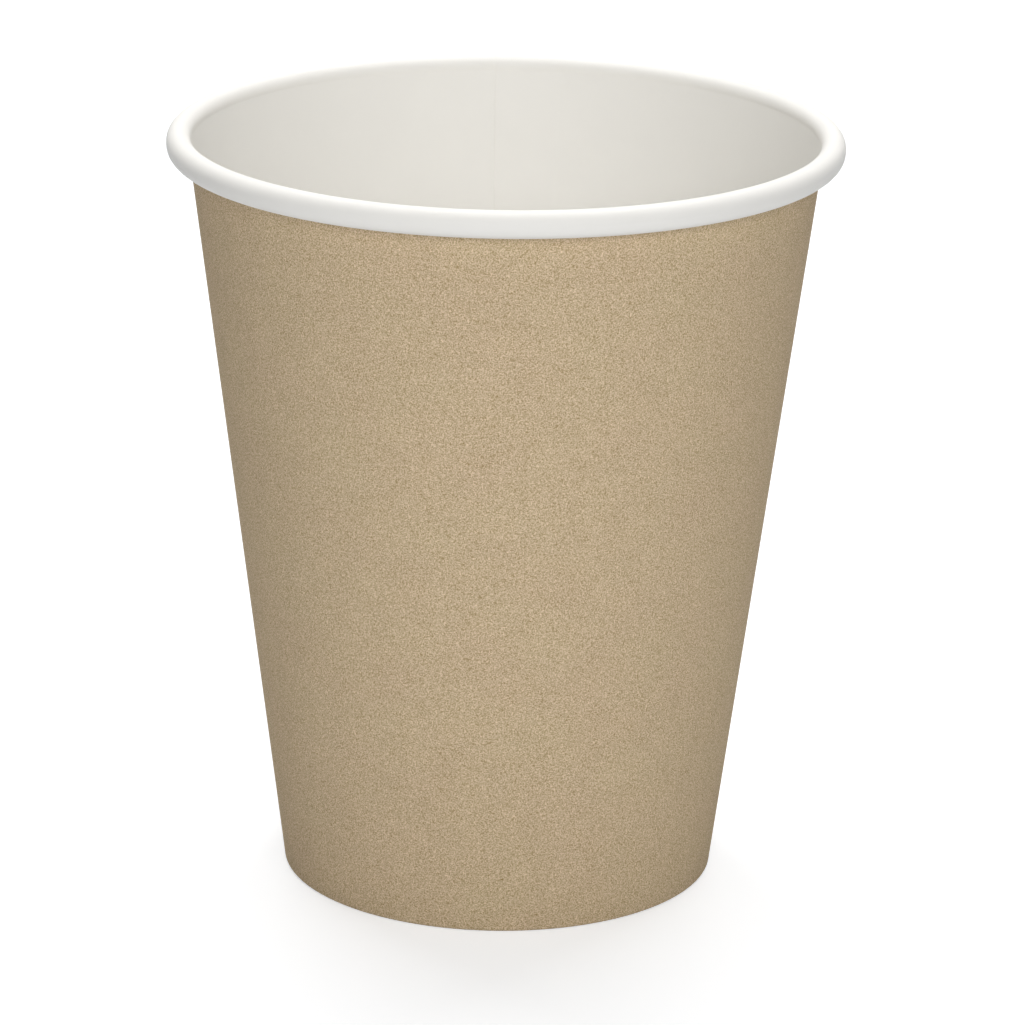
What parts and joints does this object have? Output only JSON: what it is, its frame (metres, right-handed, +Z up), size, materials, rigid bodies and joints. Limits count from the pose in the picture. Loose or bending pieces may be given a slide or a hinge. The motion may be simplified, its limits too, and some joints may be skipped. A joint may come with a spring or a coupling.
{
  "type": "paper coffee cup",
  "caption": "Tapered single-wall paper cup with a rolled rim, a lapped side seam and a recessed floor sealed into a hemmed foot; brown outside, white inside.",
  "frame": {"origin": "centre of the standing ring, on the plane the cup stands on", "axes": "+Z up along the cup's axis, +Y towards the lap seam"},
  "size_m": [0.08, 0.08, 0.0913],
  "materials": {
    "kraft_board": "matte brown kraft print outside, white coated inside",
    "white_board": "matte white, thinly coated on its upper face"
  },
  "bodies": {
    "root": {"sidewall": "kraft_board", "base_disc": "white_board"}
  },
  "joints": []
}
